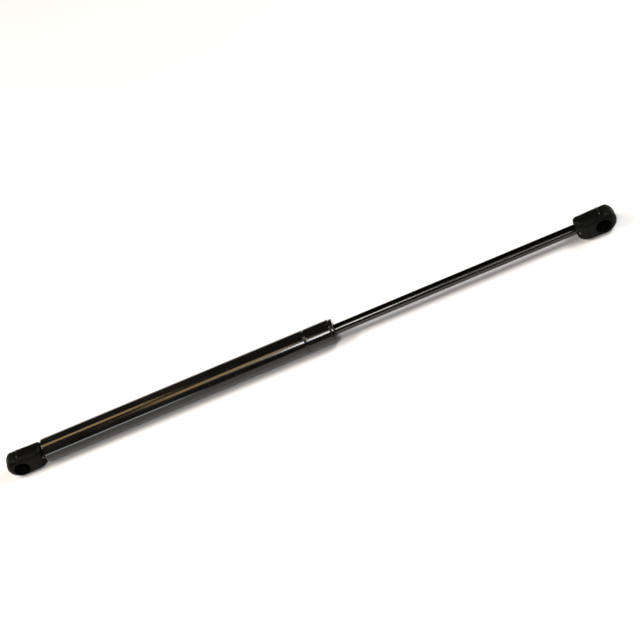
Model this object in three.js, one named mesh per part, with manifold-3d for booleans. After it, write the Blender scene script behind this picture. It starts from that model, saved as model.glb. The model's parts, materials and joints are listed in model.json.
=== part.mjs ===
// Gas strut stay: a nitrogen gas spring with a ball socket on each end, rod fully out.
// Millimetres, +Z up. The strut lies along X with its axis at y = 0, z = 0, tube end at -X,
// rod end at +X. Both socket mouths face -Y. The origin is the middle of the overall length.

import * as THREE from 'three';
import { mergeVertices } from 'three/addons/utils/BufferGeometryUtils.js';
import Module from 'manifold-3d';

const wasm = await Module();
wasm.setup();

// ---------------------------------------------------------------- driving dimensions

const BALL_SPAN = 477; // ball centre to ball centre, rod out
const BALL_X = BALL_SPAN / 2;

const TUBE_R = 9.5;
const TUBE_WALL = 1.0;
const TUBE_BORE_R = TUBE_R - TUBE_WALL;
const ROD_R = 4.0;

// Ball sockets; stations along X are taken from the ball centre, outwards positive.
const NOSE_X = 11.4; // outer end
const SHANK_X = -20.0; // inner end
const HEAD_DEPTH = 8.7; // ball centre to mouth plane
const HEAD_HALF = 9.7; // half width, and radius of the outer end seen along the mouth axis
const HEAD_BACK_Y = 8.4;
const SHANK_HALF = 9.4;
const SHANK_BACK_Y = 8.0;
const BACK_R = 10.6; // round back, in cross-section

const CUP_R = 5.1; // seat of the 10 mm ball
const NECK_Y = -2.2; // where the cup ends and the lead-in begins
const MOUTH_R = 6.5;

const INSERT_R = 6.0;
const THREAD_R = 3.9; // M8 male thread, drawn plain
const TAPPED_R = 4.05;
const FIT = 0.05; // static fit between two turned pieces
const STATIC_GAP = 0.3; // between pieces that meet face to face

const WIRE_R = 0.8;
const CLIP_LEG_Z = 8.75; // wire centre of the legs, and radius of the bow
const CLIP_BOW_Y = -0.3; // centre of the bow
const CLIP_HOOK_Y = -3.6;
const CLIP_TIP_Z = 4.3;
const CLIP_LIFT = 4.0;
const CLIP_PLAY = 0.15; // wire to its groove

const FINE = 36; // facets round the tube, rod and guide
const COARSE = 24; // facets round the other turned pieces
const BOW_STEPS = 20; // facets along the bow of a clip
const CURVE_STEPS = 5; // half the facets of each arc in an extruded outline

const TAU = 2 * Math.PI;

// ---------------------------------------------------------------- stations along X

const SOCKET_FACE_X = BALL_X + SHANK_X; // inner face of the rod-end socket, mirrored at the tube end
const TUBE_START_X = -SOCKET_FACE_X + STATIC_GAP;
const TUBE_END_X = 23.6;
const GROOVE_X = 0; // rolled bead that holds the seal package
const STUD_TIP_X = BALL_X - 9.5; // end of each M8 thread, inside its socket

// ---------------------------------------------------------------- solids

/** A closed three.js geometry as a manifold solid. */
function solid(geometry) {
  const bare = geometry.clone();
  bare.deleteAttribute('normal');
  bare.deleteAttribute('uv');
  const merged = mergeVertices(bare, 1e-4);
  const { index, attributes } = merged;
  const triVerts = new Uint32Array(index.array);
  const vertProperties = new Float32Array(attributes.position.array);
  return new wasm.Manifold(new wasm.Mesh({ numProp: 3, vertProperties, triVerts }));
}

/** A manifold solid as a three.js geometry. */
function geometryOf(manifold) {
  const { vertProperties, triVerts } = manifold.getMesh();
  const geometry = new THREE.BufferGeometry();
  geometry.setAttribute('position', new THREE.BufferAttribute(vertProperties, 3));
  geometry.setIndex(new THREE.BufferAttribute(triVerts, 1));
  geometry.computeVertexNormals();
  return geometry;
}

/** Points [x, r] of an arc in the half plane of a turned profile; angles in degrees from +X. */
function arc(x, r, radius, from, to, steps) {
  return Array.from({ length: steps + 1 }, (_, i) => {
    const a = THREE.MathUtils.degToRad(from + ((to - from) * i) / steps);
    return [x + radius * Math.cos(a), r + radius * Math.sin(a)];
  });
}

/** A profile of [x, r] points turned round the X axis: outside towards +X, inside back again. */
function turned(profile, facets) {
  const points = profile.map(([x, r]) => new THREE.Vector2(r, x));
  return new THREE.LatheGeometry(points, facets).rotateZ(-Math.PI / 2);
}

/** A ring or tube: the outer profile runs towards +X, the inner one back towards -X. */
function ring(outer, inner, facets = COARSE) {
  return turned([...outer, ...inner, outer[0]], facets);
}

/** A plain ring between two stations, with small chamfers outside. */
function plainRing(x0, x1, innerR, outerR, chamfer = 0.25, facets = COARSE) {
  const outer = [
    [x0, outerR - chamfer],
    [x0 + chamfer, outerR],
    [x1 - chamfer, outerR],
    [x1, outerR - chamfer],
  ];
  return ring(outer, [[x1, innerR], [x0, innerR]], facets);
}

/** A shape drawn in (y, z), as a slab centred on x = 0. */
function slabAcrossX(shape, thickness) {
  const slab = slabAcrossZ(shape, thickness);
  const axes = [new THREE.Vector3(0, 1, 0), new THREE.Vector3(0, 0, 1), new THREE.Vector3(1, 0, 0)];
  return slab.applyMatrix4(new THREE.Matrix4().makeBasis(...axes));
}

/** A shape drawn in (z, x), as a slab centred on y = 0. */
function slabAcrossY(shape, thickness) {
  const slab = slabAcrossZ(shape, thickness);
  const axes = [new THREE.Vector3(0, 0, 1), new THREE.Vector3(1, 0, 0), new THREE.Vector3(0, 1, 0)];
  return slab.applyMatrix4(new THREE.Matrix4().makeBasis(...axes));
}

/** A shape drawn in (x, y), as a slab centred on z = 0. */
function slabAcrossZ(shape, thickness) {
  const settings = { depth: thickness, bevelEnabled: false, curveSegments: CURVE_STEPS };
  return new THREE.ExtrudeGeometry(shape, settings).translate(0, 0, -thickness / 2);
}

// ---------------------------------------------------------------- materials and meshes

const finish = (color, roughness, metalness) => ({ color, roughness, metalness });
const PAINT = finish(0x0c0c0d, 0.16, 0.0);
const NITRIDED = finish(0x1b1b1c, 0.22, 0.9);
const NYLON = finish(0x1e2120, 0.62, 0.0);
const SPRING_STEEL = finish(0x3a3a3c, 0.38, 0.9);
const BARE_STEEL = finish(0x9a9c9f, 0.35, 1.0);
const SINTERED = finish(0x6f7073, 0.6, 0.8);
const RUBBER = finish(0x151515, 0.75, 0.0);
const PTFE = finish(0x6d6a3e, 0.5, 0.0);

const strut = new THREE.Group();
strut.name = 'gas_strut_stay';

function addPiece(parent, name, geometry, look) {
  const mesh = new THREE.Mesh(geometry, new THREE.MeshStandardMaterial(look));
  mesh.name = name;
  parent.add(mesh);
  return mesh;
}

// ---------------------------------------------------------------- cylinder tube

/** Drawn tube: closed in over the base plug, beaded at the seal package, rolled in at the rod end. */
function cylinderTube() {
  const cornerR = 1.6;
  const foldR = 6.6; // opening left in the folded base
  const beadHalf = 0.9;
  const beadDepth = 0.55;
  const beadSteps = 4;
  const shoulderX = TUBE_END_X - 2.9; // the wall starts to close in here
  const lineX = TUBE_END_X - 2.2; // fine line left by the rolling tool
  const lipR = TUBE_R - 0.45;
  const lipOpeningR = 5.2;
  const lipEdge = 0.3;

  const bead = (radius) => Array.from({ length: beadSteps + 1 }, (_, i) => {
    const t = i / beadSteps;
    const dip = beadDepth * 0.5 * (1 - Math.cos(TAU * t));
    return [GROOVE_X - beadHalf + 2 * beadHalf * t, radius - dip];
  });

  const outer = [
    [TUBE_START_X, foldR],
    ...arc(TUBE_START_X + cornerR, TUBE_R - cornerR, cornerR, 180, 90, 3),
    ...bead(TUBE_R),
    [shoulderX, TUBE_R],
    [lineX, lipR - lipEdge],
    [lineX + lipEdge, lipR],
    ...arc(TUBE_END_X - 2 * lipEdge, lipR - 2 * lipEdge, 2 * lipEdge, 90, 0, 3),
    [TUBE_END_X, lipOpeningR + lipEdge],
  ];
  const inner = [
    [TUBE_END_X - lipEdge, lipOpeningR],
    [TUBE_END_X - TUBE_WALL, lipOpeningR + lipEdge],
    [TUBE_END_X - TUBE_WALL, TUBE_BORE_R - 1.0],
    [TUBE_END_X - 2.0, TUBE_BORE_R],
    ...bead(TUBE_BORE_R).reverse(),
    [TUBE_START_X + cornerR, TUBE_BORE_R],
    [TUBE_START_X + TUBE_WALL, TUBE_BORE_R - 0.6],
    [TUBE_START_X + TUBE_WALL, foldR],
  ];
  return ring(outer, inner, FINE);
}

// ---------------------------------------------------------------- base plug

const PLUG_FACE_X = TUBE_START_X + TUBE_WALL + STATIC_GAP;
const PLUG_LENGTH = 9.0;
const PLUG_SEAL_X = PLUG_FACE_X + 5.0;
const SEAL_SECTION_R = 0.9;

/** Turned plug under the folded base, with its M8 stud and the groove of its O-ring. */
function basePlug() {
  const plugR = TUBE_BORE_R - FIT;
  const shoulderR = 6.3;
  const grooveR = plugR - 2 * SEAL_SECTION_R - 3 * FIT;
  const grooveHalf = SEAL_SECTION_R + FIT;
  const chamfer = 1.0;
  const end = PLUG_FACE_X + PLUG_LENGTH;
  return turned([
    [-STUD_TIP_X, 0],
    [-STUD_TIP_X, THREAD_R - 0.7],
    [-STUD_TIP_X + 0.7, THREAD_R],
    [TUBE_START_X - STATIC_GAP, THREAD_R],
    [TUBE_START_X, shoulderR],
    [PLUG_FACE_X, shoulderR],
    [PLUG_FACE_X, plugR - chamfer],
    [PLUG_FACE_X + chamfer, plugR],
    [PLUG_SEAL_X - grooveHalf, plugR],
    [PLUG_SEAL_X - grooveHalf, grooveR],
    [PLUG_SEAL_X + grooveHalf, grooveR],
    [PLUG_SEAL_X + grooveHalf, plugR],
    [end - chamfer, plugR],
    [end, plugR - chamfer],
    [end, 0],
  ], COARSE);
}

/** O-ring of the base plug. */
function baseSealRing() {
  const middleR = TUBE_BORE_R - FIT - SEAL_SECTION_R;
  return turned(arc(PLUG_SEAL_X, middleR, SEAL_SECTION_R, 180, -180, 8), COARSE);
}

// ---------------------------------------------------------------- rod

const PISTON_SHOULDER_X = -3.5; // the rod steps down here to carry the piston
const PISTON_SHANK_R = 3.0;
const RIVET_X = -15.6; // underside of the riveted rod tail
const RIVET_THICKNESS = 1.4;
const SUPPORT_X0 = 1.5; // back of the seal package, where the buffer stops

/** Ground rod: riveted tail, piston shank, running length, M8 thread in the socket. */
function pistonRod() {
  const rivetR = 3.9;
  const relief = 0.4;
  return turned([
    [RIVET_X - RIVET_THICKNESS, 0],
    [RIVET_X - RIVET_THICKNESS, rivetR - 0.8],
    [RIVET_X - 0.6, rivetR],
    [RIVET_X, rivetR],
    [RIVET_X, PISTON_SHANK_R],
    [PISTON_SHOULDER_X, PISTON_SHANK_R],
    [PISTON_SHOULDER_X, ROD_R - 0.2],
    [PISTON_SHOULDER_X + 0.2, ROD_R],
    [SOCKET_FACE_X - STATIC_GAP, ROD_R],
    [SOCKET_FACE_X - STATIC_GAP + relief, THREAD_R],
    [STUD_TIP_X - 0.7, THREAD_R],
    [STUD_TIP_X, THREAD_R - 0.7],
    [STUD_TIP_X, 0],
  ], FINE);
}

// ---------------------------------------------------------------- piston

const RUNNING_FIT = 0.06;
const PISTON_X0 = -12.6;
const PISTON_X1 = -5.6;
const PISTON_R = TUBE_BORE_R - 0.12;
const PISTON_RING_X0 = -10.6;
const PISTON_RING_X1 = -8.0;
const PISTON_RING_DEPTH = 1.5;
const PORT_RADIUS = 0.6;
const PORT_CENTRE_R = 5.2;
const PORTS = 3;

/** A small rod along X, used to drill the ports of the piston and its discs. */
function portDrill(angle) {
  const length = 20;
  const middleX = (PISTON_X0 + PISTON_X1) / 2;
  const y = PORT_CENTRE_R * Math.cos(angle);
  const z = PORT_CENTRE_R * Math.sin(angle);
  const drill = new THREE.CylinderGeometry(PORT_RADIUS, PORT_RADIUS, length, 12).rotateZ(Math.PI / 2);
  return solid(drill.translate(middleX, y, z));
}

/** A blank drilled with evenly spaced ports. */
function drilled(blank, ports) {
  let result = solid(blank);
  for (let i = 0; i < ports; i++) result = result.subtract(portDrill((TAU * i) / ports));
  return geometryOf(result);
}

/** Piston with its ring groove and three axial ports. */
function pistonBody() {
  const grooveR = PISTON_R - PISTON_RING_DEPTH;
  const boreR = PISTON_SHANK_R + FIT;
  const outer = [
    [PISTON_X0, PISTON_R - 0.5],
    [PISTON_X0 + 0.5, PISTON_R],
    [PISTON_RING_X0, PISTON_R],
    [PISTON_RING_X0, grooveR],
    [PISTON_RING_X1, grooveR],
    [PISTON_RING_X1, PISTON_R],
    [PISTON_X1 - 0.5, PISTON_R],
    [PISTON_X1, PISTON_R - 0.5],
  ];
  return drilled(ring(outer, [[PISTON_X1, boreR], [PISTON_X0, boreR]]), PORTS);
}

/** Split sealing ring in the groove of the piston. */
function pistonRing() {
  const side = 0.1;
  const innerR = PISTON_R - PISTON_RING_DEPTH + side;
  const outerR = TUBE_BORE_R - RUNNING_FIT;
  const band = plainRing(PISTON_RING_X0 + side, PISTON_RING_X1 - side, innerR, outerR, 0.2);
  const gap = new THREE.BoxGeometry(8, 0.6, 6).translate(PISTON_RING_X0, 0, TUBE_BORE_R - 1);
  return geometryOf(solid(band).subtract(solid(gap)));
}

const pistonDisc = (x0, x1, outerR) => plainRing(x0, x1, PISTON_SHANK_R + FIT, outerR, 0.15);

/** Thin disc that throttles the ports: one small slot is left open. */
function orificeDisc() {
  const thickness = 0.4;
  const x0 = PISTON_X1 + STATIC_GAP;
  return drilled(pistonDisc(x0, x0 + thickness, 7.2), 1);
}

/** Buffer that takes the end of the stroke against the seal package. */
function reboundBumper() {
  const x0 = PISTON_SHOULDER_X + 0.5;
  const x1 = SUPPORT_X0 - STATIC_GAP;
  const boreR = ROD_R + 0.15;
  const outer = [[x0, 6.6], [x0 + 0.8, 7.2], [x1 - 1.2, 6.6], [x1, 5.8]];
  return ring(outer, [[x1, boreR], [x0, boreR]]);
}

// ---------------------------------------------------------------- seal package

const PACKAGE_R = TUBE_BORE_R - FIT - 0.05;
const SEAL_X0 = 3.3;
const SEAL_X1 = 9.3;
const WASHER_X0 = 9.6;
const GUIDE_X0 = 11.2;
const GUIDE_X1 = TUBE_END_X - TUBE_WALL - STATIC_GAP;
const LINER_R = 4.9;

/** Ring that sits on the bead and carries the seal. */
const supportRing = () => plainRing(SUPPORT_X0, SEAL_X0 - STATIC_GAP, 4.6, PACKAGE_R, 0.4);

/** Lip seal: an outer sleeve, a back wall, and one lip that opens towards the gas. */
function rodSeal() {
  const lipR = ROD_R + RUNNING_FIT;
  const outer = [
    [SEAL_X0, PACKAGE_R - 0.5],
    [SEAL_X0 + 0.5, PACKAGE_R],
    [SEAL_X1 - 0.4, PACKAGE_R],
    [SEAL_X1, PACKAGE_R - 0.4],
  ];
  const inner = [
    [SEAL_X1, lipR + 0.3],
    [SEAL_X1 - 1.0, lipR],
    [SEAL_X1 - 2.4, lipR + 0.3],
    [SEAL_X0 + 1.2, lipR],
    [SEAL_X0 + 0.4, lipR + 0.3],
    [SEAL_X0 + 0.4, lipR + 1.1],
    [SEAL_X0 + 3.0, lipR + 1.3],
    [SEAL_X0 + 3.0, PACKAGE_R - 1.6],
    [SEAL_X0, PACKAGE_R - 1.4],
  ];
  return ring(outer, inner);
}

/** Steel washer between seal and guide. */
const sealWasher = () => plainRing(WASHER_X0, GUIDE_X0 - STATIC_GAP, 4.4, PACKAGE_R, 0.2);

/** Sintered guide that centres the rod under the rolled lip. */
function rodGuide() {
  const outer = [
    [GUIDE_X0, PACKAGE_R - 0.4],
    [GUIDE_X0 + 0.4, PACKAGE_R],
    [GUIDE_X1 - 1.6, PACKAGE_R],
    [GUIDE_X1, PACKAGE_R - 1.6],
  ];
  return ring(outer, [[GUIDE_X1, LINER_R + FIT], [GUIDE_X0, LINER_R + FIT]], FINE);
}

/** Low-friction sleeve pressed into the guide. */
const guideLiner = () => plainRing(GUIDE_X0 + 0.3, GUIDE_X1 - 0.3, ROD_R + RUNNING_FIT, LINER_R, 0.2, FINE);

// ---------------------------------------------------------------- ball socket

const SLAB = 60; // longer than any socket, for the slabs that shape it

const TAPER_X0 = -12.0; // the shank widens into the head between these stations
const TAPER_X1 = -3.0;

/** Outline seen along the mouth axis, in (z, x): round outer end, slightly slimmer shank. */
function socketPlan() {
  const corner = 3.8;
  const middle = (TAPER_X0 + TAPER_X1) / 2;
  const plan = new THREE.Shape();
  plan.absarc(0, NOSE_X - HEAD_HALF, HEAD_HALF, 0, Math.PI, false);
  plan.lineTo(-HEAD_HALF, TAPER_X1);
  plan.bezierCurveTo(-HEAD_HALF, middle, -SHANK_HALF, middle, -SHANK_HALF, TAPER_X0);
  plan.lineTo(-SHANK_HALF, SHANK_X + corner);
  plan.absarc(-SHANK_HALF + corner, SHANK_X + corner, corner, Math.PI, 1.5 * Math.PI, false);
  plan.lineTo(SHANK_HALF - corner, SHANK_X);
  plan.absarc(SHANK_HALF - corner, SHANK_X + corner, corner, 1.5 * Math.PI, TAU, false);
  plan.lineTo(SHANK_HALF, TAPER_X0);
  plan.bezierCurveTo(SHANK_HALF, middle, HEAD_HALF, middle, HEAD_HALF, TAPER_X1);
  return plan;
}

/** Cross-section in (y, z): flat mouth face, rounded flanks, flat sides, round back. */
function socketSection() {
  const flank = 4.2;
  const reach = Math.asin(HEAD_HALF / BACK_R);
  const section = new THREE.Shape();
  section.absarc(HEAD_BACK_Y - BACK_R, 0, BACK_R, -reach, reach, false);
  section.lineTo(-HEAD_DEPTH + flank, HEAD_HALF);
  section.absarc(-HEAD_DEPTH + flank, HEAD_HALF - flank, flank, Math.PI / 2, Math.PI, false);
  section.lineTo(-HEAD_DEPTH, -HEAD_HALF + flank);
  section.absarc(-HEAD_DEPTH + flank, -HEAD_HALF + flank, flank, Math.PI, 1.5 * Math.PI, false);
  return section;
}

/** Side view in (x, y): every end corner rounded, most of all under the inner end. */
function socketProfile() {
  const noseMouth = 5.5;
  const noseBack = 7.0;
  const innerBack = 3.8;
  const innerMouth = 9.0;
  const corner = (x, y, radius, from) => profile.absarc(x, y, radius, from, from + Math.PI / 2, false);
  const profile = new THREE.Shape();
  corner(NOSE_X - noseMouth, -HEAD_DEPTH + noseMouth, noseMouth, -Math.PI / 2);
  corner(NOSE_X - noseBack, HEAD_BACK_Y - noseBack, noseBack, 0);
  profile.lineTo(TAPER_X1, HEAD_BACK_Y);
  profile.lineTo(TAPER_X0, SHANK_BACK_Y);
  corner(SHANK_X + innerBack, SHANK_BACK_Y - innerBack, innerBack, Math.PI / 2);
  corner(SHANK_X + innerMouth, -HEAD_DEPTH + innerMouth, innerMouth, Math.PI);
  return profile;
}

/** Ball cup and its flared mouth, turned round Y. */
function cupTool() {
  const pole = Math.PI / 2;
  const neckAngle = Math.asin(NECK_Y / CUP_R);
  const steps = 8;
  const points = [new THREE.Vector2(0, -SLAB / 2), new THREE.Vector2(MOUTH_R, -SLAB / 2)];
  points.push(new THREE.Vector2(MOUTH_R, -HEAD_DEPTH + STATIC_GAP));
  for (let i = 0; i <= steps; i++) {
    const a = neckAngle + ((pole - neckAngle) * i) / steps;
    points.push(new THREE.Vector2(i === steps ? 0 : CUP_R * Math.cos(a), CUP_R * Math.sin(a)));
  }
  return new THREE.LatheGeometry(points, FINE);
}

/** Groove over the back and the two side slots that the safety clip moves in. */
function clipSlotTool() {
  const outside = 20;
  const bottomY = CLIP_HOOK_Y - WIRE_R - CLIP_PLAY;
  const topY = CLIP_HOOK_Y + CLIP_LIFT + WIRE_R + CLIP_PLAY;
  const innerZ = CLIP_TIP_Z - STATIC_GAP;
  const floorR = CLIP_LEG_Z - WIRE_R - CLIP_PLAY;
  const start = Math.asin((topY - CLIP_BOW_Y) / floorR); // from the z axis towards +y
  const slot = new THREE.Shape();
  slot.moveTo(bottomY, innerZ);
  slot.lineTo(topY, innerZ);
  slot.lineTo(topY, floorR * Math.cos(start));
  slot.absarc(CLIP_BOW_Y, 0, floorR, Math.PI / 2 - start, start - Math.PI / 2, true);
  slot.lineTo(topY, -innerZ);
  slot.lineTo(bottomY, -innerZ);
  slot.lineTo(bottomY, -outside);
  slot.lineTo(outside, -outside);
  slot.lineTo(outside, outside);
  slot.lineTo(bottomY, outside);
  return slabAcrossX(slot, 2 * (WIRE_R + CLIP_PLAY));
}

const INSERT_X0 = -18.2; // the moulded-in insert
const INSERT_X1 = -9.4;

/** Hollow for the insert, reached through a narrower hole that keeps the insert in. */
function insertTool() {
  const boreR = INSERT_R + FIT;
  const entryR = TAPPED_R + 0.25;
  const x0 = INSERT_X0 - STATIC_GAP;
  const x1 = INSERT_X1 + STATIC_GAP;
  return turned([[-SLAB, 0], [-SLAB, entryR], [x0, entryR], [x0, boreR], [x1, boreR], [x1, 0]], COARSE);
}

/** Moulded ball socket: body, cup, clip slots and the hollow of its threaded insert. */
function ballSocket() {
  const body = solid(slabAcrossY(socketPlan(), SLAB))
    .intersect(solid(slabAcrossX(socketSection(), SLAB)))
    .intersect(solid(slabAcrossZ(socketProfile(), SLAB)));
  const tools = [cupTool(), clipSlotTool(), insertTool()];
  return geometryOf(tools.reduce((rest, tool) => rest.subtract(solid(tool)), body));
}

/** Steel insert tapped M8, with a retaining groove round its middle. */
function threadInsert() {
  const x0 = INSERT_X0;
  const x1 = INSERT_X1;
  const grooveR = INSERT_R - 0.6;
  const grooveX0 = x0 + 3;
  const grooveX1 = x1 - 3;
  const outer = [[x0, INSERT_R], [grooveX0, INSERT_R], [grooveX0, grooveR]];
  outer.push([grooveX1, grooveR], [grooveX1, INSERT_R], [x1, INSERT_R]);
  return ring(outer, [[x1, TAPPED_R], [x0, TAPPED_R]]);
}

/** Centreline of the wire: hook, leg, bow over the back, leg, hook. */
function clipPath() {
  const bendR = 1.1;
  const path = new THREE.CurvePath();
  const at = (y, z) => new THREE.Vector3(0, y, z);
  const bend = (side) => {
    const corner = at(CLIP_HOOK_Y, side * CLIP_LEG_Z);
    const fromTip = at(CLIP_HOOK_Y, side * (CLIP_LEG_Z - bendR));
    const toLeg = at(CLIP_HOOK_Y + bendR, side * CLIP_LEG_Z);
    return [fromTip, corner, toLeg];
  };
  const [tipBend, tipCorner, legBend] = bend(1);
  const [farTipBend, farCorner, farLegBend] = bend(-1);
  path.add(new THREE.LineCurve3(at(CLIP_HOOK_Y, CLIP_TIP_Z), tipBend));
  path.add(new THREE.QuadraticBezierCurve3(tipBend, tipCorner, legBend));
  path.add(new THREE.LineCurve3(legBend, at(CLIP_BOW_Y, CLIP_LEG_Z)));
  const bow = new THREE.EllipseCurve(0, 0, CLIP_LEG_Z, CLIP_LEG_Z, Math.PI / 2, -Math.PI / 2, true);
  const bowPoints = bow.getPoints(BOW_STEPS).map((p) => at(CLIP_BOW_Y + p.x, p.y));
  path.add(new THREE.CatmullRomCurve3(bowPoints));
  path.add(new THREE.LineCurve3(at(CLIP_BOW_Y, -CLIP_LEG_Z), farLegBend));
  path.add(new THREE.QuadraticBezierCurve3(farLegBend, farCorner, farTipBend));
  path.add(new THREE.LineCurve3(farTipBend, at(CLIP_HOOK_Y, -CLIP_TIP_Z)));
  return path;
}

/** Spring wire clip that locks the ball stud in the cup. */
function safetyClip() {
  const wireSides = 8;
  const steps = 36;
  const round = new THREE.EllipseCurve(0, 0, WIRE_R, WIRE_R, 0, TAU).getPoints(wireSides);
  const wire = new THREE.Shape(round.slice(0, -1));
  return new THREE.ExtrudeGeometry(wire, { extrudePath: clipPath(), steps, bevelEnabled: false });
}

/** Socket, insert and clip of one end; turned half round about Y they face the other way along X. */
function addSocket(prefix, ballX, turn) {
  const end = new THREE.Group();
  end.position.x = ballX;
  end.rotation.y = turn;
  strut.add(end);
  addPiece(end, `${prefix}_socket`, ballSocket(), NYLON);
  addPiece(end, `${prefix}_insert`, threadInsert(), BARE_STEEL);
  addPiece(end, `${prefix}_safety_clip`, safetyClip(), SPRING_STEEL);
}

// ---------------------------------------------------------------- assembly

addPiece(strut, 'cylinder_tube', cylinderTube(), PAINT);
addPiece(strut, 'base_plug', basePlug(), BARE_STEEL);
addPiece(strut, 'base_seal_ring', baseSealRing(), RUBBER);
addPiece(strut, 'piston_rod', pistonRod(), NITRIDED);
addPiece(strut, 'piston_body', pistonBody(), SINTERED);
addPiece(strut, 'piston_ring', pistonRing(), PTFE);
addPiece(strut, 'piston_orifice_disc', orificeDisc(), BARE_STEEL);
addPiece(strut, 'piston_upper_washer', pistonDisc(-4.7, PISTON_SHOULDER_X - 0.2, 6.4), BARE_STEEL);
addPiece(strut, 'piston_lower_washer', pistonDisc(RIVET_X + 0.2, PISTON_X0 - 0.3, 6.8), BARE_STEEL);
addPiece(strut, 'rebound_bumper', reboundBumper(), RUBBER);
addPiece(strut, 'support_ring', supportRing(), BARE_STEEL);
addPiece(strut, 'rod_seal', rodSeal(), RUBBER);
addPiece(strut, 'seal_washer', sealWasher(), BARE_STEEL);
addPiece(strut, 'rod_guide', rodGuide(), SINTERED);
addPiece(strut, 'guide_liner', guideLiner(), PTFE);
addSocket('tube_end', -BALL_X, Math.PI);
addSocket('rod_end', BALL_X, 0);

export default strut;
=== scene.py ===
import bpy
import json
import math
import bmesh
import numpy as np
from mathutils import Matrix, Vector


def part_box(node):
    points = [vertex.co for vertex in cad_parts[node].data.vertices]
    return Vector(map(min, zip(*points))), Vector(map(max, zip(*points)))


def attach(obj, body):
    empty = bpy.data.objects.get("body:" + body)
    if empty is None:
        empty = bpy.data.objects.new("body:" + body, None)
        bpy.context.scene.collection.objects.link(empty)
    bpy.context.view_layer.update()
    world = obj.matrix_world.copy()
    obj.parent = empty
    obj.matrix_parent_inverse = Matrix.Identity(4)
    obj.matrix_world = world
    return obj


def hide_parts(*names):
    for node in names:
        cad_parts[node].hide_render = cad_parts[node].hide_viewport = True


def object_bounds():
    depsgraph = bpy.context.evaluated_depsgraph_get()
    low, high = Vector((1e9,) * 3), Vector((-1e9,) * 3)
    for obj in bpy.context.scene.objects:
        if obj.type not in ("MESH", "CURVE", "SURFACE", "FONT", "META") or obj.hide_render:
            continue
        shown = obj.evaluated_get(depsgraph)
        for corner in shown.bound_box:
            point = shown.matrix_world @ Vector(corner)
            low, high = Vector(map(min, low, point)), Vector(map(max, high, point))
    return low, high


# Gas strut stay: fine meshes, materials, floor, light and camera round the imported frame.
# Lengths inside the shape functions are millimetres, like the frame's design; MM takes them to metres.
# The strut lies along X with its axis at y = z = 0. Both socket mouths face -Y.

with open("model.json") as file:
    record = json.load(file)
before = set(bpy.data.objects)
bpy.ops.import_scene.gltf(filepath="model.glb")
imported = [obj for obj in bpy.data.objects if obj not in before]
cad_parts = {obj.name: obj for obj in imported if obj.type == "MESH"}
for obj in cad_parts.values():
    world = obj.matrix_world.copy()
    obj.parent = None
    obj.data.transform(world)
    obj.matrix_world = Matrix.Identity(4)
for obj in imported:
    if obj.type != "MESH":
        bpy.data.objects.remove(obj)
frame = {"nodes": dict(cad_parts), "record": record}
CAD_LOW, CAD_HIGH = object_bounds()

MM = 0.001

# ------------------------------------------------------------------ sizes read from the frame


def box_mm(node):
    """Lowest and highest corner of a CAD node, in millimetres."""
    low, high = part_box(node)
    return Vector(low) / MM, Vector(high) / MM


TUBE_LOW, TUBE_HIGH = box_mm("cylinder_tube")
ROD_LOW, ROD_HIGH = box_mm("piston_rod")
HEAD_LOW, HEAD_HIGH = box_mm("rod_end_socket")

TUBE_R = TUBE_HIGH.z
TUBE_START_X = TUBE_LOW.x
TUBE_END_X = TUBE_HIGH.x
TUBE_WALL = 1.0
ROD_R = ROD_HIGH.z
ROD_TIP_X = ROD_HIGH.x
HEAD_HALF = HEAD_HIGH.z
NOSE_X = 11.4
BALL_X = HEAD_HIGH.x - NOSE_X
HEAD_DEPTH = -HEAD_LOW.y
HEAD_BACK_Y = HEAD_HIGH.y
SHANK_X = HEAD_LOW.x - BALL_X

BACK_R = 10.6
SHANK_HALF = 9.4
SHANK_BACK_Y = 8.0
CUP_R = 5.1
NECK_Y = -2.2
MOUTH_R = 6.5
WIRE_R = 0.8
CLIP_LEG_Z = 8.75
CLIP_BOW_Y = -0.3
CLIP_HOOK_Y = -3.6
CLIP_TIP_Z = 4.3
CLIP_LIFT = 4.0
CLIP_PLAY = 0.15
CLIP_END_EASE = 0.25  # rounding of the wire's cut ends
STATIC_GAP = 0.3

# ------------------------------------------------------------------ mesh helpers

ON_AXIS = 1e-9  # a radius below this counts as zero
WELD_DISTANCE = 1e-7  # metres


def new_piece(name, vertices, faces):
    """A smooth-shaded mesh object from vertices in millimetres."""
    mesh = bpy.data.meshes.new(name)
    mesh.from_pydata((np.asarray(vertices) * MM).tolist(), [], faces)
    mesh.update()
    mesh.polygons.foreach_set("use_smooth", [True] * len(mesh.polygons))
    piece = bpy.data.objects.new(name, mesh)
    bpy.context.scene.collection.objects.link(piece)
    return piece


def filleted(corners, steps=6):
    """An open or closed outline of (x, r, fillet radius) corners, each corner rounded by an arc."""
    points = []
    count = len(corners)
    for i, (x, r, radius) in enumerate(corners):
        here = np.array([x, r])
        if radius <= 0:
            points.append(here)
            continue
        before = np.array(corners[i - 1][:2]) - here
        after = np.array(corners[(i + 1) % count][:2]) - here
        before /= np.linalg.norm(before)
        after /= np.linalg.norm(after)
        half = math.acos(np.clip(before @ after, -1, 1)) / 2
        bisector = (before + after) / np.linalg.norm(before + after)
        centre = here + bisector * radius / math.sin(half)
        start = here + before * radius / math.tan(half) - centre
        end = here + after * radius / math.tan(half) - centre
        a0 = math.atan2(start[1], start[0])
        sweep = math.atan2(end[1], end[0]) - a0
        sweep = (sweep + math.pi) % (2 * math.pi) - math.pi
        for k in range(steps + 1):
            a = a0 + sweep * k / steps
            points.append(centre + radius * np.array([math.cos(a), math.sin(a)]))
    return points


def band(i, j, sides):
    """Quads between ring i and ring j of a turned or swept piece."""
    faces = []
    for k in range(sides):
        m = (k + 1) % sides
        faces.append((i * sides + k, i * sides + m, j * sides + m, j * sides + k))
    return faces


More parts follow.
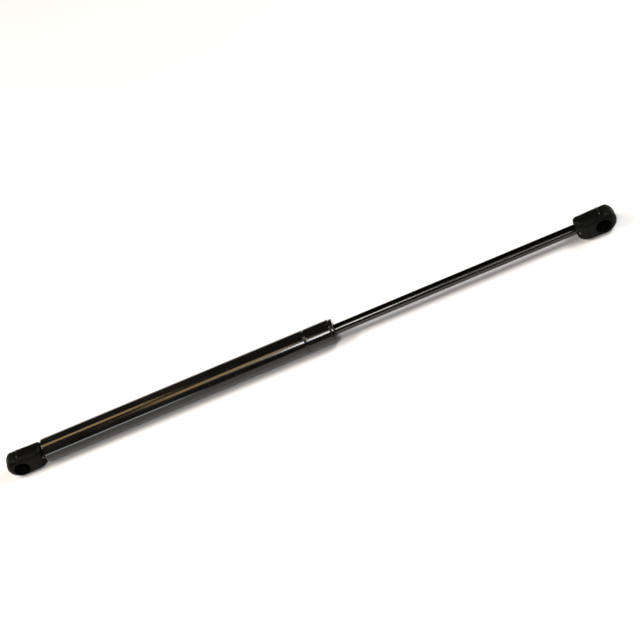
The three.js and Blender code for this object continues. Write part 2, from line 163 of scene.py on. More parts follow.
def turned(name, outline, segments, longest=4.0):
    """A closed outline of (x, r) points turned round the X axis.

    Straights longer than the given length are split, for even shading.
    """
    dense = []
    for (x0, r0), (x1, r1) in zip(outline, outline[1:] + outline[:1]):
        parts = max(1, math.ceil(math.hypot(x1 - x0, r1 - r0) / longest))
        for k in range(parts):
            t = k / parts
            dense.append((x0 + (x1 - x0) * t, r0 + (r1 - r0) * t))
    x, r = np.array(dense).T
    rings = len(dense)
    angle = 2 * math.pi * np.arange(segments) / segments
    vertices = np.empty((rings, segments, 3))
    vertices[..., 0] = x[:, None]
    vertices[..., 1] = -r[:, None] * np.sin(angle)
    vertices[..., 2] = r[:, None] * np.cos(angle)
    faces = []
    for i in range(rings):
        j = (i + 1) % rings
        if r[i] > ON_AXIS or r[j] > ON_AXIS:
            faces.extend(band(i, j, segments))
    piece = new_piece(name, vertices.reshape(-1, 3), faces)
    weld(piece)
    return piece


def weld(piece):
    """Merges the vertices that meet on the axis and turns every face outwards."""
    mesh = piece.data
    work = bmesh.new()
    work.from_mesh(mesh)
    bmesh.ops.remove_doubles(work, verts=work.verts, dist=WELD_DISTANCE)
    bmesh.ops.dissolve_degenerate(work, edges=work.edges, dist=WELD_DISTANCE)
    bmesh.ops.recalc_face_normals(work, faces=work.faces)
    work.to_mesh(mesh)
    work.free()
    mesh.polygons.foreach_set("use_smooth", [True] * len(mesh.polygons))


# ------------------------------------------------------------------ distance fields

PROBE = 0.05  # reach of the gradient probe, in grid steps
LEAST_SLOPE = 0.25  # lower bound of the squared gradient, against overlong steps


def round_intersection(a, b, radius):
    """Distance to what two solids share, with its edges rounded."""
    corner = np.hypot(np.maximum(radius + a, 0), np.maximum(radius + b, 0))
    return np.minimum(-radius, np.maximum(a, b)) + corner


def round_cut(a, b, radius):
    """Distance to a solid with another one cut away, with the rim rounded."""
    return round_intersection(a, -b, radius)


# Steps back from a crossed grid edge to the cells that share it, along the two axes across it.
CELLS_ROUND_EDGE = ((0, 0), (0, -1), (-1, 0), (-1, -1))
QUAD_ROUND_EDGE = ((-1, -1), (0, -1), (0, 0), (-1, 0))


def edge_crossings(values, axis):
    """Grid edges along an axis that cross zero: place, crossing point, and whether they start inside."""
    first = [slice(None)] * 3
    second = [slice(None)] * 3
    first[axis] = slice(0, -1)
    second[axis] = slice(1, None)
    starts, ends = values[tuple(first)], values[tuple(second)]
    crossed = np.argwhere((starts < 0) != (ends < 0))
    at = tuple(crossed.T)
    v0, v1 = starts[at], ends[at]
    point = crossed.astype(float)
    point[:, axis] += v0 / (v0 - v1)
    return crossed, point, v0 < 0


def cells_beside(crossed, axes, steps):
    """The cells reached from crossed edges by a step along each of two axes."""
    cell = crossed.copy()
    for axis, step in zip(axes, steps):
        cell[:, axis] += step
    return cell


def summed_crossings(crossings, cells):
    """For each grid cell, the sum of the crossing points on its edges and how many there are."""
    total = np.zeros(cells + (3,))
    hits = np.zeros(cells)
    for axis, (crossed, point, _) in enumerate(crossings):
        others = [k for k in range(3) if k != axis]
        for steps in CELLS_ROUND_EDGE:
            cell = cells_beside(crossed, others, steps)
            ok = ((cell >= 0) & (cell < cells)).all(1)
            where = tuple(cell[ok].T)
            np.add.at(total, where, point[ok])
            np.add.at(hits, where, 1)
    return total, hits


def edge_quads(number, crossed, starts_inside, axis):
    """A quad for each crossed edge, through the vertices of the cells round it, facing outwards."""
    across = ((axis + 1) % 3, (axis + 2) % 3)
    corners = [number[tuple(cells_beside(crossed, across, steps).T)] for steps in QUAD_ROUND_EDGE]
    quads = np.stack(corners, 1)
    quads[~starts_inside] = quads[~starts_inside][:, ::-1]
    return quads.tolist()


def surface_net(field, low, high, step):
    """Vertices and quads of the surface where a distance field is zero."""
    axes = [np.arange(a, b + step, step) for a, b in zip(low, high)]
    values = field(*np.meshgrid(*axes, indexing="ij"))
    crossings = [edge_crossings(values, axis) for axis in range(3)]
    cells = tuple(n - 1 for n in values.shape)
    total, hits = summed_crossings(crossings, cells)
    used = hits > 0
    number = np.full(cells, -1)
    number[used] = np.arange(used.sum())
    origin = np.array([a[0] for a in axes])
    vertices = origin + step * total[used] / hits[used][:, None]
    faces = []
    for axis, (crossed, _, starts_inside) in enumerate(crossings):
        faces.extend(edge_quads(number, crossed, starts_inside, axis))
    return drawn_on(field, vertices, step), faces


def drawn_on(field, vertices, step, rounds=3):
    """Moves vertices along the field's gradient on to its zero surface, by Newton steps."""
    h = step * PROBE
    for _ in range(rounds):
        x, y, z = vertices.T
        value = field(x, y, z)
        gradient = np.stack([
            field(x + h, y, z) - field(x - h, y, z),
            field(x, y + h, z) - field(x, y - h, z),
            field(x, y, z + h) - field(x, y, z - h),
        ], 1) / (2 * h)
        size = np.maximum((gradient ** 2).sum(1), LEAST_SLOPE)
        move = -(value / size)[:, None] * gradient
        vertices = vertices + np.clip(move, -step / 2, step / 2)
    return vertices


# ------------------------------------------------------------------ ball socket

NOSE_BACK_R = 7.0  # roundings of the moulded body
NOSE_MOUTH_R = 5.5
FLANK_MOUTH_R = 4.2
INNER_BACK_R = 3.4
INNER_MOUTH_R = 9.0
BACK_EDGE_R = 0.3
SLOT_EDGE_R = 0.18
SLOT_CORNER_R = 0.25
CUP_RIM_R = 0.35
BORE_EDGE_R = 0.15
TAPER_X = (-12.0, -3.0)  # the shank widens to the head between these stations
MOUTH_ROUNDING_X = (1.0, 8.0)  # the mouth edge's rounding grows from flank to nose between these
BACK_MARGIN = 0.3  # the nose is rounded to a plane this far behind the back
CONE_TOP_Y = -1.0  # the lead-in ends here, inside the ball seat
ENTRY_R = 4.3  # opening for the rod or stud
ENTRY_END_X = -10
POCKET_R = 6.05  # room for the threaded insert
POCKET_END_X = -9.1
POCKET_WALL = 1.5  # nylon between the insert and the inner end
PARTING_Y = 0.8


def eased(value, start, end):
    """0 before start, 1 after end, with a smooth step between."""
    t = np.clip((value - start) / (end - start), 0, 1)
    return t * t * (3 - 2 * t)


def body_field(x, y, z):
    """Moulded body: round outer end, slimmer shank, flat mouth face, flat sides, round back."""
    to_head = eased(x, *TAPER_X)
    half = SHANK_HALF + (HEAD_HALF - SHANK_HALF) * to_head
    back_y = SHANK_BACK_Y + (HEAD_BACK_Y - SHANK_BACK_Y) * to_head
    mouth_r = FLANK_MOUTH_R + (NOSE_MOUTH_R - FLANK_MOUTH_R) * eased(x, *MOUTH_ROUNDING_X)
    plan = np.hypot(np.maximum(x - NOSE_X + HEAD_HALF, 0), z) - half
    body = round_intersection(plan, y - back_y - BACK_MARGIN, NOSE_BACK_R)
    body = round_intersection(body, -HEAD_DEPTH - y, mouth_r)
    back = np.hypot(np.maximum(y - back_y + BACK_R, 0), z) - BACK_R
    body = round_intersection(body, back, BACK_EDGE_R)
    inner_r = INNER_BACK_R + (INNER_MOUTH_R - INNER_BACK_R) * eased(-y, 0.0, HEAD_DEPTH)
    return round_intersection(body, SHANK_X - x, inner_r)


def cup_field(x, y, z):
    """Ball seat, snap neck and flared mouth about the Y axis."""
    radial = np.hypot(x, z)
    ball = np.hypot(radial, y) - CUP_R
    neck_r = math.sqrt(CUP_R ** 2 - NECK_Y ** 2)
    flare = (MOUTH_R - neck_r) / (HEAD_DEPTH + NECK_Y)
    cone = (radial - neck_r - flare * (NECK_Y - y)) / math.hypot(1, flare)
    cone = np.maximum(cone, y - CONE_TOP_Y)
    return np.minimum(ball, cone)


def clip_slot_field(x, y, z):
    """Groove over the back and the two side slots in which the clip moves."""
    bottom = CLIP_HOOK_Y - WIRE_R - CLIP_PLAY
    top = CLIP_HOOK_Y + CLIP_LIFT + WIRE_R + CLIP_PLAY
    floor = CLIP_LEG_Z - WIRE_R - CLIP_PLAY
    arch = floor - np.hypot(np.maximum(y - CLIP_BOW_Y, 0), z)
    hook = np.maximum(CLIP_TIP_Z - STATIC_GAP - np.abs(z), y - top)
    opening = np.maximum(np.minimum(arch, hook), bottom - y)
    return round_intersection(np.abs(x) - WIRE_R - CLIP_PLAY, opening, SLOT_CORNER_R)


def bore_field(x, y, z):
    """Opening for the rod or stud, and the pocket of its threaded insert."""
    radial = np.hypot(y, z)
    entry = np.maximum(radial - ENTRY_R, x - ENTRY_END_X)
    ends = np.maximum(x - POCKET_END_X, SHANK_X + POCKET_WALL - x)
    return np.minimum(entry, np.maximum(radial - POCKET_R, ends))


def socket_field(x, y, z):
    """Moulded socket about its ball centre: body, ball seat, clip groove and bore."""
    body = round_cut(body_field(x, y, z), cup_field(x, y, z), CUP_RIM_R)
    body = round_cut(body, clip_slot_field(x, y, z), SLOT_EDGE_R)
    return round_cut(body, bore_field(x, y, z), BORE_EDGE_R)


def socket_mesh(step):
    """Vertices and faces of one socket, on a grid of the given step."""
    margin = 2 * step
    low = (SHANK_X - margin, -HEAD_DEPTH - margin, -HEAD_HALF - margin)
    high = (NOSE_X + margin, HEAD_BACK_Y + margin, HEAD_HALF + margin)
    return surface_net(socket_field, low, high, step)


# ------------------------------------------------------------------ safety clip


def clip_path(bend_r=1.1, bend_steps=10, bow_steps=72):
    """Middle of the wire as (y, z) points: hook, leg, bow over the back, leg, hook."""
    half = [(CLIP_HOOK_Y, CLIP_TIP_Z)]
    for k in range(bend_steps + 1):
        a = math.pi / 2 * k / bend_steps
        half.append((CLIP_HOOK_Y + bend_r * (1 - math.cos(a)), CLIP_LEG_Z - bend_r * (1 - math.sin(a))))
    for k in range(bow_steps // 2 + 1):
        a = math.pi / 2 * k / (bow_steps // 2)
        half.append((CLIP_BOW_Y + CLIP_LEG_Z * math.sin(a), CLIP_LEG_Z * math.cos(a)))
    return half + [(y, -z) for y, z in reversed(half[:-1])]


def clip_mesh(sides=24, cap_steps=4):
    """Wire of round section along the clip's path, with rounded-over ends."""
    path = np.array(clip_path())
    tangent = np.gradient(path, axis=0)
    tangent /= np.linalg.norm(tangent, axis=1)[:, None]
    rings = [(p, t, WIRE_R) for p, t in zip(path, tangent)]
    ease = CLIP_END_EASE
    caps = []
    for k in range(1, cap_steps + 1):
        a = math.pi / 2 * k / cap_steps
        caps.append((ease * math.sin(a), WIRE_R - ease * (1 - math.cos(a))))
    start = [(path[0] + tangent[0] * ease, tangent[0], WIRE_R)]
    start = [(path[0] + tangent[0] * (ease - out), tangent[0], r) for out, r in reversed(caps)] + start
    end = [(path[-1] - tangent[-1] * ease, tangent[-1], WIRE_R)]
    end += [(path[-1] - tangent[-1] * (ease - out), tangent[-1], r) for out, r in caps]
    rings = start + rings[1:-1] + end
    vertices = []
    for (y, z), (ty, tz), r in rings:
        for k in range(sides):
            a = 2 * math.pi * k / sides
            across, along_x = r * math.cos(a), r * math.sin(a)
            vertices.append((along_x, y - tz * across, z + ty * across))
    faces = []
    for i in range(len(rings) - 1):
        faces.extend(band(i, i + 1, sides))
    faces.append(tuple(reversed(range(sides))))
    faces.append(tuple((len(rings) - 1) * sides + k for k in range(sides)))
    return np.array(vertices), faces


def faced(vertices, ball_x):
    """Moves an end's vertices to its ball centre; the tube end is turned half round about Y."""
    side = 1 if ball_x > 0 else -1
    return vertices * np.array([side, 1, side]) + np.array([ball_x, 0, 0])


# ------------------------------------------------------------------ node graphs


MIX_FACTOR, MIX_A, MIX_B, MIX_RESULT = 0, 6, 7, 2  # sockets of a Mix node set to colours
FLOAT_A, FLOAT_B = 2, 3  # and of one set to numbers


class Graph:
    """A material's node tree, with short calls for the nodes used here."""

    def __init__(self, name):
        self.material = bpy.data.materials.new(name)
        self.material.use_nodes = True
        self.tree = self.material.node_tree
        self.tree.nodes.clear()
        output = self.tree.nodes.new("ShaderNodeOutputMaterial")
        self.shader = self.tree.nodes.new("ShaderNodeBsdfPrincipled")
        self.tree.links.new(self.shader.outputs[0], output.inputs[0])
        self.place = self.tree.nodes.new("ShaderNodeTexCoord").outputs["Object"]

    def feed(self, socket, value):
        """Links a node's output to a socket, or sets a constant on it."""
        if isinstance(value, bpy.types.NodeSocket):
            self.tree.links.new(value, socket)
        else:
            socket.default_value = value

    def scaled(self, scale):
        """The object's own coordinates, scaled."""
        node = self.tree.nodes.new("ShaderNodeMapping")
        self.feed(node.inputs["Vector"], self.place)
        node.inputs["Scale"].default_value = scale
        return node.outputs[0]

    def noise(self, scale, detail=2.0, rough=0.5, distortion=0.0):
        """Noise of a wavelength: one length in metres, or one for each axis."""
        lengths = scale if isinstance(scale, tuple) else (scale,) * 3
        node = self.tree.nodes.new("ShaderNodeTexNoise")
        self.feed(node.inputs["Vector"], self.scaled(tuple(1 / s for s in lengths)))
        node.inputs["Scale"].default_value = 1.0
        node.inputs["Detail"].default_value = detail
        node.inputs["Roughness"].default_value = rough
        node.inputs["Distortion"].default_value = distortion
        return node.outputs[0]

    def spots(self, spacing):
        """Distance from the nearest of scattered points, in units of their spacing."""
        node = self.tree.nodes.new("ShaderNodeTexVoronoi")
        self.feed(node.inputs["Vector"], self.scaled((1 / spacing,) * 3))
        node.inputs["Scale"].default_value = 1.0
        return node.outputs["Distance"]

    def remap(self, value, low, high, to_low=0.0, to_high=1.0):
        """A smooth step from one range to another."""
        node = self.tree.nodes.new("ShaderNodeMapRange")
        node.interpolation_type = "SMOOTHSTEP"
        for socket, v in zip(node.inputs[:5], (value, low, high, to_low, to_high)):
            self.feed(socket, v)
        return node.outputs[0]

    def maths(self, operation, a, b=0.0, c=0.0):
        """One sum on one, two or three values."""
        node = self.tree.nodes.new("ShaderNodeMath")
        node.operation = operation
        for socket, v in zip(node.inputs, (a, b, c)):
            self.feed(socket, v)
        return node.outputs[0]

    def blend(self, amount, a, b):
        """Colour a where the amount is 0, b where it is 1."""
        node = self.tree.nodes.new("ShaderNodeMix")
        node.data_type = "RGBA"
        self.feed(node.inputs[MIX_FACTOR], amount)
        self.feed(node.inputs[MIX_A], a)
        self.feed(node.inputs[MIX_B], b)
        return node.outputs[MIX_RESULT]

    def axis(self, index):
        """One of the object's own coordinates, in metres."""
        node = self.tree.nodes.new("ShaderNodeSeparateXYZ")
        self.feed(node.inputs[0], self.place)
        return node.outputs[index]

    def near(self, value, centre, reach):
        """1 where a coordinate is at a place, falling to 0 at a reach from it."""
        away = self.maths("ABSOLUTE", self.maths("SUBTRACT", value, centre))
        return self.remap(away, 0.0, reach, 1.0, 0.0)

    def bump(self, height, depth, under=None):
        """A bump whose height of 1 stands for a real depth in metres."""
        node = self.tree.nodes.new("ShaderNodeBump")
        node.inputs["Strength"].default_value = 1.0
        node.inputs["Distance"].default_value = depth
        self.feed(node.inputs["Height"], height)
        if under is not None:
            self.feed(node.inputs["Normal"], under)
        return node.outputs[0]

    def finish(self, **sockets):
        """Feeds the shader's sockets, whose names have _ for a space, and returns the material."""
        for label, value in sockets.items():
            self.feed(self.shader.inputs[label.replace("_", " ")], value)
        return self.material


BLACK_PAINT = (0.0032, 0.0030, 0.0028, 1)
DUSTY_PAINT = (0.0075, 0.0068, 0.006, 1)
DUST = (0.16, 0.155, 0.145, 1)
ROD_DARK = (0.04, 0.038, 0.035, 1)
ROD_PALE = (0.055, 0.052, 0.048, 1)
NYLON_DARK = (0.0018, 0.0019, 0.0015, 1)
NYLON_PALE = (0.0036, 0.0037, 0.003, 1)
NYLON_FIBRE = (0.007, 0.0072, 0.006, 1)
WIRE_DARK = (0.045, 0.045, 0.046, 1)
WIRE_RUBBED = (0.13, 0.13, 0.13, 1)
STEEL_CLEAN = (0.46, 0.46, 0.47, 1)
STEEL_OILED = (0.33, 0.31, 0.28, 1)
SINTER_PORE = (0.05, 0.05, 0.05, 1)
SINTER_SKIN = (0.2, 0.195, 0.19, 1)
RUBBER_DARK = (0.012, 0.012, 0.012, 1)
RUBBER_BLOOM = (0.026, 0.025, 0.024, 1)
LINER_BASE = (0.24, 0.2, 0.09, 1)
LINER_FLECK = (0.42, 0.34, 0.16, 1)
FLOOR_SHADE = (0.86, 0.86, 0.86, 1)
FLOOR_PALE = (0.89, 0.89, 0.89, 1)


def enamel():
    """Gloss black stoved enamel: orange peel, a faint film, wipe marks and specks of dust."""
    g = Graph("black_enamel")
    film = g.remap(g.noise(0.045, 3.0), 0.35, 0.75)
    wipes = g.noise((0.03, 0.0007, 0.0007), 3.0, 0.6)
    specks = g.remap(g.spots(0.0034), 0.035, 0.06, 1.0, 0.0)
    colour = g.blend(film, BLACK_PAINT, DUSTY_PAINT)
    colour = g.blend(specks, colour, DUST)
    rough = g.remap(wipes, 0.35, 0.8, 0.075, 0.15)
    rough = g.maths("ADD", rough, g.maths("MULTIPLY", film, 0.03))
    rough = g.maths("MULTIPLY_ADD", specks, 0.4, rough)
    peel = g.bump(g.noise(0.0016, 1.0), 0.000006)
    peel = g.bump(g.noise((0.02, 0.0004, 0.0004), 2.0), 0.0000008, peel)
    return g.finish(Base_Color=colour, Roughness=rough, Normal=peel, IOR=1.46)


def nitrided():
    """Ground and black nitrided rod: fine circumferential grinding marks and faint drawn streaks."""
    g = Graph("nitrided_rod")
    tone = g.remap(g.noise((0.05, 0.004, 0.004), 3.0), 0.3, 0.75)
    colour = g.blend(tone, ROD_DARK, ROD_PALE)
    rough = g.remap(g.noise((0.02, 0.0012, 0.0012), 3.0, 0.6), 0.3, 0.75, 0.13, 0.22)
    grind = g.bump(g.noise((0.00009, 0.01, 0.01), 2.0), 0.0000012)
    return g.finish(Base_Color=colour, Roughness=rough, Normal=grind, Metallic=1.0)


def nylon():
    """Moulded glass-filled nylon: fine grain, fibre streaks, a parting line round the sides."""
    g = Graph("black_nylon")
    streaks = g.remap(g.noise((0.003, 0.0006, 0.0006), 4.0, 0.65), 0.45, 0.8)
    cloud = g.remap(g.noise(0.006, 3.0), 0.3, 0.75)
    colour = g.blend(cloud, NYLON_DARK, NYLON_PALE)
    colour = g.blend(g.maths("MULTIPLY", streaks, 0.5), colour, NYLON_FIBRE)
    rough = g.remap(g.noise(0.0011, 3.0, 0.6), 0.3, 0.75, 0.36, 0.52)
    grain = g.bump(g.noise(0.00022, 2.0, 0.6), 0.00002)
    line = g.near(g.axis(1), PARTING_Y * MM, 0.00016)
    line = g.bump(line, 0.00005, grain)
    wave = g.bump(g.noise(0.004, 2.0), 0.00008, line)
    return g.finish(Base_Color=colour, Roughness=rough, Normal=wave, IOR=1.4, Specular_IOR_Level=0.08)


def clip_steel():
    """Dark phosphated spring wire with drawn lines and rubbed high spots."""
    g = Graph("clip_steel")
    rubbed = g.remap(g.noise(0.0016, 4.0, 0.6), 0.5, 0.68)
    colour = g.blend(rubbed, WIRE_DARK, WIRE_RUBBED)
    rough = g.remap(g.noise(0.0005, 3.0), 0.3, 0.7, 0.3, 0.48)
    drawn = g.bump(g.noise((0.0001, 0.002, 0.002), 2.0), 0.000004)
    return g.finish(Base_Color=colour, Roughness=rough, Normal=drawn, Metallic=1.0)


def turned_steel():
    """Bright turned steel: feed marks along X and a little oil film."""
    g = Graph("plain_steel")
    film = g.remap(g.noise(0.005, 3.0), 0.35, 0.75)
    colour = g.blend(film, STEEL_CLEAN, STEEL_OILED)
    rough = g.remap(g.noise(0.0015, 3.0), 0.3, 0.7, 0.25, 0.42)
    feed = g.bump(g.noise((0.00012, 0.01, 0.01), 2.0), 0.000004)
    return g.finish(Base_Color=colour, Roughness=rough, Normal=feed, Metallic=1.0)


def sintered():
    """Sintered steel: fine open pores and a matt grey skin."""
    g = Graph("sintered_steel")
    pores = g.remap(g.spots(0.0003), 0.12, 0.3)
    colour = g.blend(pores, SINTER_PORE, SINTER_SKIN)
    rough = g.remap(g.noise(0.0008, 3.0), 0.3, 0.7, 0.5, 0.7)
    return g.finish(Base_Color=colour, Roughness=rough, Normal=g.bump(pores, 0.00002), Metallic=0.8)


def rubber():
    """Nitrile rubber: oily, finely matt."""
    g = Graph("seal_rubber")
    bloom = g.remap(g.noise(0.002, 3.0), 0.35, 0.75)
    colour = g.blend(bloom, RUBBER_DARK, RUBBER_BLOOM)
    rough = g.remap(g.noise(0.0007, 3.0), 0.3, 0.7, 0.4, 0.7)
    return g.finish(Base_Color=colour, Roughness=rough, Normal=g.bump(g.noise(0.0002), 0.00001))


def bearing_plastic():
    """Bronze-filled bearing plastic."""
    g = Graph("ptfe")
    flecks = g.remap(g.noise(0.00025, 3.0, 0.7), 0.5, 0.7)
    colour = g.blend(flecks, LINER_BASE, LINER_FLECK)
    rough = g.remap(g.noise(0.0009, 3.0), 0.3, 0.7, 0.35, 0.55)
    return g.finish(Base_Color=colour, Roughness=rough, Normal=g.bump(flecks, 0.000006))


MATERIALS = {
    "black_enamel": enamel(),
    "nitrided_rod": nitrided(),
    "black_nylon": nylon(),
    "clip_steel": clip_steel(),
    "plain_steel": turned_steel(),
    "sintered_steel": sintered(),
    "seal_rubber": rubber(),
    "ptfe": bearing_plastic(),
}


def dress_frame():
    """Gives every CAD node the procedural material of its slot."""
    for part in frame["record"]["subparts"]:
        node = frame["nodes"][part["node"]]
        node.data.materials.clear()
        node.data.materials.append(MATERIALS[part["material_slot"]])


def place(piece, node, body, slot):
    """A fine piece stands for a CAD node, rides its body and wears its slot's material."""
    piece.data.materials.append(MATERIALS[slot])
    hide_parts(node)
    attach(piece, body)


# ------------------------------------------------------------------ tube and rod

BEAD_HALF = 0.9
BEAD_DEPTH = 0.55
BEAD_STEPS = 28
BEAD_SHARPNESS = 1.3
FOLD_R = 6.6  # opening left in the folded base
LIP_R = TUBE_R - 0.45
LINE_R = LIP_R - 0.35  # bottom of the rolling tool's fine line
LINE_X = TUBE_END_X - 2.25
SHOULDER_X = TUBE_END_X - 2.9  # the wall starts to close in here
LIP_OPENING_R = 5.2

RIVET_R = 3.9
RIVET_THICKNESS = 1.4
PISTON_SHANK_R = 3.0
PISTON_SHOULDER_X = -3.5
THREAD_X = BALL_X + SHANK_X - STATIC_GAP
THREAD_R = 3.9
THREAD_ROOT_R = THREAD_R - 0.7
THREAD_PITCH = 1.25


def bead(radius, reverse=False):
    """Rolled bead: a smooth dip in the wall round x = 0."""
    points = []
    for k in range(BEAD_STEPS + 1):
        t = k / BEAD_STEPS
        dip = BEAD_DEPTH * (0.5 - 0.5 * math.cos(2 * math.pi * t)) ** BEAD_SHARPNESS
        points.append((-BEAD_HALF + 2 * BEAD_HALF * t, radius - dip, 0))
    return points[::-1] if reverse else points


def tube_outline():
    """Half section of the tube wall: folded base, bead, shoulder line and rolled-in lip."""
    bore_r = TUBE_R - TUBE_WALL
    return filleted([
        (TUBE_START_X, FOLD_R, 0.3),
        (TUBE_START_X, TUBE_R, 1.0),
        *bead(TUBE_R),
        (SHOULDER_X, TUBE_R, 0.5),
        (LINE_X - 0.1, LINE_R, 0.1),
        (LINE_X + 0.1, LINE_R, 0.1),
        (LINE_X + 0.4, LIP_R, 0.15),
        (TUBE_END_X, LIP_R, 0.5),
        (TUBE_END_X, LIP_OPENING_R, 0.4),
        (TUBE_END_X - TUBE_WALL, LIP_OPENING_R, 0.4),
        (TUBE_END_X - TUBE_WALL, TUBE_R - 1.9, 0.3),
        (TUBE_END_X - 2.0, bore_r, 0.4),
        *bead(bore_r, reverse=True),
        (TUBE_START_X + TUBE_WALL, bore_r, 0.4),
        (TUBE_START_X + TUBE_WALL, FOLD_R, 0.3),
    ])


def rod_outline():
    """Half section of the rod: riveted tail, piston shank, running length and M8 thread."""
    corners = [
        (ROD_LOW.x, 0, 0),
        (ROD_LOW.x, RIVET_R, 0.8),
        (ROD_LOW.x + RIVET_THICKNESS, RIVET_R, 0.1),
        (ROD_LOW.x + RIVET_THICKNESS, PISTON_SHANK_R, 0.1),
        (PISTON_SHOULDER_X, PISTON_SHANK_R, 0.2),
        (PISTON_SHOULDER_X, ROD_R, 0.25),
        (THREAD_X, ROD_R, 0.25),
        (THREAD_X, THREAD_ROOT_R, 0.1),
    ]
    x = THREAD_X + 1.0
    while x + THREAD_PITCH < ROD_TIP_X - 0.8:
        corners += [(x, THREAD_ROOT_R, 0.08), (x + THREAD_PITCH / 2, THREAD_R, 0.06)]
        x += THREAD_PITCH
    corners += [(x, THREAD_ROOT_R, 0.1), (ROD_TIP_X, THREAD_R - 0.9, 0.2), (ROD_TIP_X, 0, 0)]
    return filleted(corners)


# ------------------------------------------------------------------ build the object

dress_frame()
TUBE_SEGMENTS = 192
ROD_SEGMENTS = 128
SOCKET_STEP = 0.22

place(turned("tube_fine", tube_outline(), TUBE_SEGMENTS), "cylinder_tube", "barrel", "black_enamel")
place(turned("rod_fine", rod_outline(), ROD_SEGMENTS), "piston_rod", "rod", "nitrided_rod")

socket_vertices, socket_faces = socket_mesh(SOCKET_STEP)
clip_vertices, clip_faces = clip_mesh()
ENDS = (("tube_end", -BALL_X, "barrel", "tube_end_clip"), ("rod_end", BALL_X, "rod", "rod_end_clip"))
for prefix, ball_x, body, clip_body in ENDS:
    socket = new_piece(f"{prefix}_socket_fine", faced(socket_vertices, ball_x), socket_faces)
    place(socket, f"{prefix}_socket", body, "black_nylon")
    clip = new_piece(f"{prefix}_clip_fine", faced(clip_vertices, ball_x), clip_faces)
    place(clip, f"{prefix}_safety_clip", clip_body, "clip_steel")

# ------------------------------------------------------------------ floor, light and camera

FLOOR_HALF = 1.4
FLOOR_GAP = 0.00002


def make_floor():
    """Plain pale floor just under the sockets that the strut lies on."""
    z = CAD_LOW.z - FLOOR_GAP
    h = FLOOR_HALF
    corners = [(-h, -h, z), (h, -h, z), (h, h, z), (-h, h, z)]
    mesh = bpy.data.meshes.new("floor")
    mesh.from_pydata(corners, [], [(0, 1, 2, 3)])
    floor = bpy.data.objects.new("floor", mesh)
    bpy.context.scene.collection.objects.link(floor)
    g = Graph("pale_floor")
    tone = g.remap(g.noise(0.35, 3.0), 0.3, 0.7)
    colour = g.blend(tone, FLOOR_SHADE, FLOOR_PALE)
    mesh.materials.append(g.finish(Base_Color=colour, Roughness=0.9))


def softbox(name, x, elevation, distance, size, radiance, colour):
    """A rectangular soft light facing the strut's axis; the camera doesn't see it directly.

    The elevation is in degrees about the strut: 0 is in front, 90 overhead.
    """
    angle = math.radians(elevation)
    out = Vector((0, -math.cos(angle), math.sin(angle)))
    data = bpy.data.lights.new(name, "AREA")
    data.shape = "RECTANGLE"
    data.size, data.size_y = size
    data.energy = radiance * math.pi * size[0] * size[1]
    data.color = colour
    lamp = bpy.data.objects.new(name, data)
    bpy.context.scene.collection.objects.link(lamp)
    basis = Matrix((Vector((1, 0, 0)), out.cross(Vector((1, 0, 0))), out)).transposed().to_4x4()
    lamp.matrix_world = Matrix.Translation(Vector((x, 0, 0)) + out * distance) @ basis
    lamp.visible_camera = False


def make_world(seen, felt):
    """Even surroundings: one strength where the camera sees them, another as light."""
    world = bpy.data.worlds.new("studio")
    bpy.context.scene.world = world
    world.use_nodes = True
    tree = world.node_tree
    tree.nodes.clear()
    path = tree.nodes.new("ShaderNodeLightPath")
    mix = tree.nodes.new("ShaderNodeMix")
    background = tree.nodes.new("ShaderNodeBackground")
    output = tree.nodes.new("ShaderNodeOutputWorld")
    tree.links.new(path.outputs["Is Camera Ray"], mix.inputs[MIX_FACTOR])
    background.inputs["Color"].default_value = (1, 1, 1, 1)
    mix.inputs[FLOAT_A].default_value = felt
    mix.inputs[FLOAT_B].default_value = seen
    tree.links.new(mix.outputs[0], background.inputs["Strength"])
    tree.links.new(background.outputs[0], output.inputs[0])


# The camera stands off the strut's axis, a little towards the rod end, and looks back along it.
FOCAL_MM = 106.9
SENSOR_MM = 36
CAMERA_DISTANCE = 1.43
CAMERA_FOOT_X = 0.1429
CAMERA_ELEVATION = math.radians(48)
LOOK_BACK = math.radians(5.08)
LOOK_ABOVE = math.radians(0.44)
STRUT_RISE = math.radians(22.71)


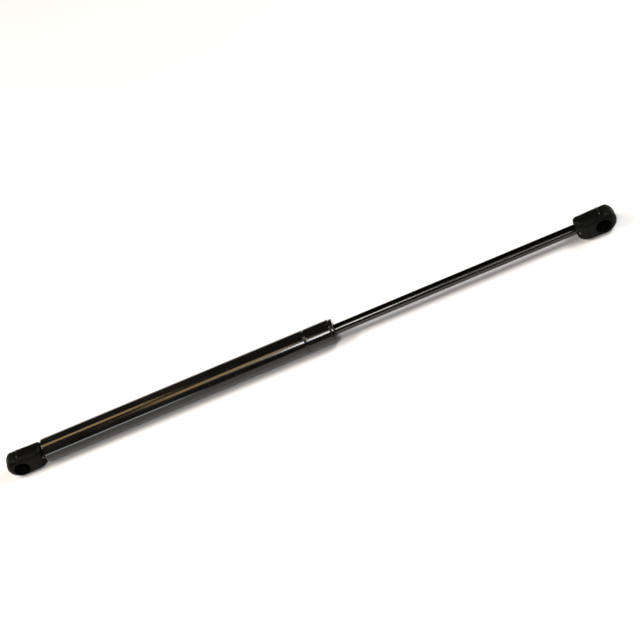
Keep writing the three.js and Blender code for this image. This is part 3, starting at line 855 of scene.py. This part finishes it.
def make_camera():
    """A long lens, rolled so that the strut rises to the right."""
    e = CAMERA_ELEVATION
    towards = Vector((0, math.cos(e), -math.sin(e)))
    above = Vector((0, math.sin(e), math.cos(e)))
    along = Vector((1, 0, 0))
    flat_look = towards * math.cos(LOOK_BACK) - along * math.sin(LOOK_BACK)
    look = (flat_look * math.cos(LOOK_ABOVE) + above * math.sin(LOOK_ABOVE)).normalized()
    strut = (along - look * along.dot(look)).normalized()
    over = strut.cross(look) * -1
    if over.dot(above) < 0:
        over = -over
    right = strut * math.cos(STRUT_RISE) - over * math.sin(STRUT_RISE)
    up = strut * math.sin(STRUT_RISE) + over * math.cos(STRUT_RISE)
    data = bpy.data.cameras.new("camera")
    data.lens = FOCAL_MM
    data.sensor_width = SENSOR_MM
    camera = bpy.data.objects.new("camera", data)
    bpy.context.scene.collection.objects.link(camera)
    eye = Vector((CAMERA_FOOT_X, 0, 0)) - towards * CAMERA_DISTANCE
    basis = Matrix((right, up, -look)).transposed().to_4x4()
    camera.matrix_world = Matrix.Translation(eye) @ basis
    bpy.context.scene.camera = camera


WHITE = (1.0, 1.0, 1.0)
WARM = (1.0, 0.66, 0.3)
COOL = (0.9, 0.95, 1.0)

# Name, station along X, elevation, distance, size, radiance and colour.
SOFTBOXES = (
    ("key", -0.095, 51, 1.6, (0.19, 0.4), 25, WHITE),
    ("key_fill", -0.05, 58, 1.6, (0.45, 0.8), 0.9, WHITE),
    ("rod_side", 0.25, 36, 1.6, (0.2, 0.26), 9, WHITE),
    ("warm_band", -0.31, 66, 1.6, (0.24, 0.6), 5.6, WARM),
    ("warm_strip", -0.5, 96, 1.1, (0.34, 0.34), 6.5, WARM),
    ("cool_strip", -0.52, 4, 1.3, (0.4, 0.24), 6.5, COOL),
    ("left_wing", -1.4, 95, 1.3, (0.9, 0.9), 13.5, WHITE),
    ("right_wing", 1.4, 95, 1.3, (0.9, 0.9), 15, WHITE),
)

make_floor()
make_world(seen=1.0, felt=0.02)
for box in SOFTBOXES:
    softbox(*box)
make_camera()
bpy.context.scene.view_settings.view_transform = "Standard"
